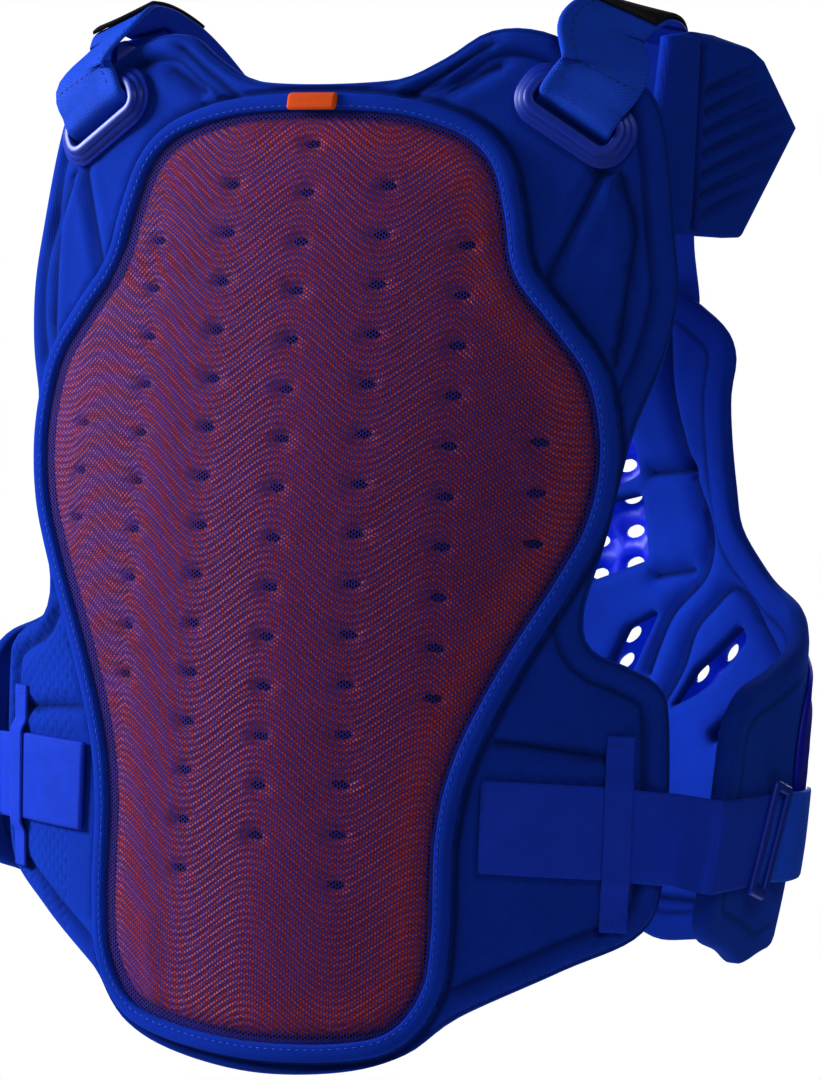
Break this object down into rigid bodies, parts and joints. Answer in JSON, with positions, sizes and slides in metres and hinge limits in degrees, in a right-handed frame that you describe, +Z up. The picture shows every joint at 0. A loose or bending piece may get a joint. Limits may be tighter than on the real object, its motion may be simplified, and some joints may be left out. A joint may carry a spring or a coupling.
{
  "type": "body armour vest",
  "caption": "Sleeveless body armour vest: padded back with a netted spine insert, padded front with a hard plate, shoulder pads, webbing straps and an elastic waist belt.",
  "frame": {"origin": "the seat on the shoulders, midway between the two shoulder straps and as high as their tops", "axes": "the vest stands as it is worn: +Z up, +Y the way the wearer faces, +X to the wearer's right"},
  "size_m": [0.4624, 0.2893, 0.5557],
  "materials": {
    "blue_foam_fabric": "knitted cloth over moulded foam",
    "blue_mesh": "open hexagonal net",
    "blue_webbing": "woven webbing and elastic",
    "blue_plastic": "moulded, satin",
    "plate_plastic": "moulded, smooth",
    "orange_foam": "soft moulded foam",
    "orange_tab": "woven tape",
    "black_hook": "hook patch"
  },
  "bodies": {
    "root": {"back_insert": "orange_foam", "back_mesh": "blue_mesh", "back_panel": "blue_foam_fabric", "belt_keeper_left": "blue_webbing", "belt_keeper_right": "blue_webbing", "belt_slide_left": "blue_plastic", "belt_slide_right": "blue_plastic", "front_pad": "blue_foam_fabric", "front_plate": "plate_plastic", "front_strap_left": "blue_webbing", "front_strap_right": "blue_webbing", "mesh_binding": "blue_foam_fabric", "pull_tab": "orange_tab", "shoulder_pad_left": "blue_foam_fabric", "shoulder_pad_right": "blue_foam_fabric", "shoulder_ring_left": "blue_plastic", "shoulder_ring_right": "blue_plastic", "shoulder_strap_left": "blue_webbing", "shoulder_strap_right": "blue_webbing", "strap_hook_left": "black_hook", "strap_hook_right": "black_hook", "waist_belt_left": "blue_webbing", "waist_belt_right": "blue_webbing"}
  },
  "joints": []
}
